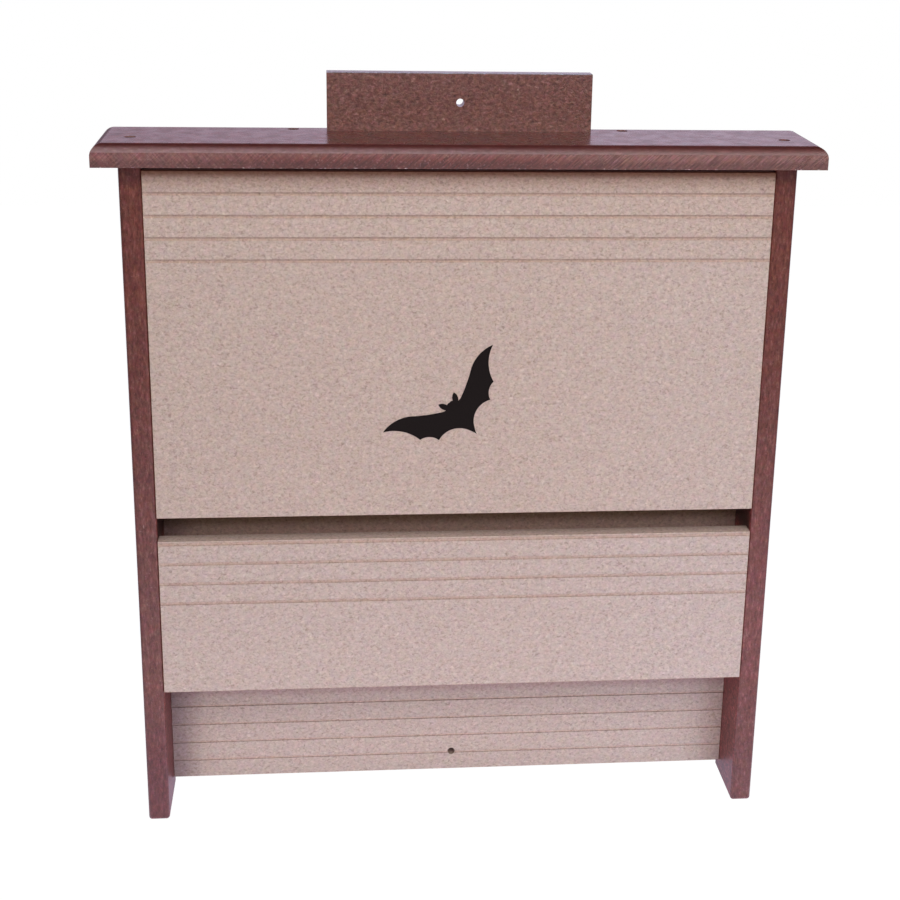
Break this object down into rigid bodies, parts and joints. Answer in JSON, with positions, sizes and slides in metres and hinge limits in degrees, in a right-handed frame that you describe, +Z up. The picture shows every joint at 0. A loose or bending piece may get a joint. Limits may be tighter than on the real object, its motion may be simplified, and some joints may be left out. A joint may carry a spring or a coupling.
{
  "type": "bat box",
  "caption": "Wall-hung bat box: grooved front boards with a vent slot between solid sides, an overhanging roof, a landing at the foot and a hanging board above.",
  "frame": {"origin": "centre of the hanging hole, on the wall plane at the back of the mounting board", "axes": "+X to the right and +Z up as seen from the front, +Y towards the wall; the front faces -Y"},
  "size_m": [0.6096, 0.0927, 0.6846],
  "materials": {
    "brown_lumber": "dark reddish-brown recycled plastic lumber, saw-cut and lightly streaked, satin",
    "brown_sheet": "dark reddish-brown recycled plastic sheet, finely flecked, satin",
    "tan_sheet": "light tan recycled plastic sheet, finely flecked, matt",
    "black_vinyl": "black adhesive vinyl, satin",
    "screw_steel": "plain stainless screws"
  },
  "bodies": {
    "root": {"left_side_board": "brown_lumber", "right_side_board": "brown_lumber", "roof_board": "brown_lumber", "mounting_board": "brown_sheet", "back_board": "tan_sheet", "upper_front_board": "tan_sheet", "lower_front_board": "tan_sheet", "roost_partition": "tan_sheet", "bat_decal": "black_vinyl", "roof_side_screws": "screw_steel", "roof_back_screws": "screw_steel", "mounting_board_screws": "screw_steel", "left_back_screws": "screw_steel", "left_upper_front_screws": "screw_steel", "left_lower_front_screws": "screw_steel", "right_back_screws": "screw_steel", "right_upper_front_screws": "screw_steel", "right_lower_front_screws": "screw_steel"}
  },
  "joints": []
}
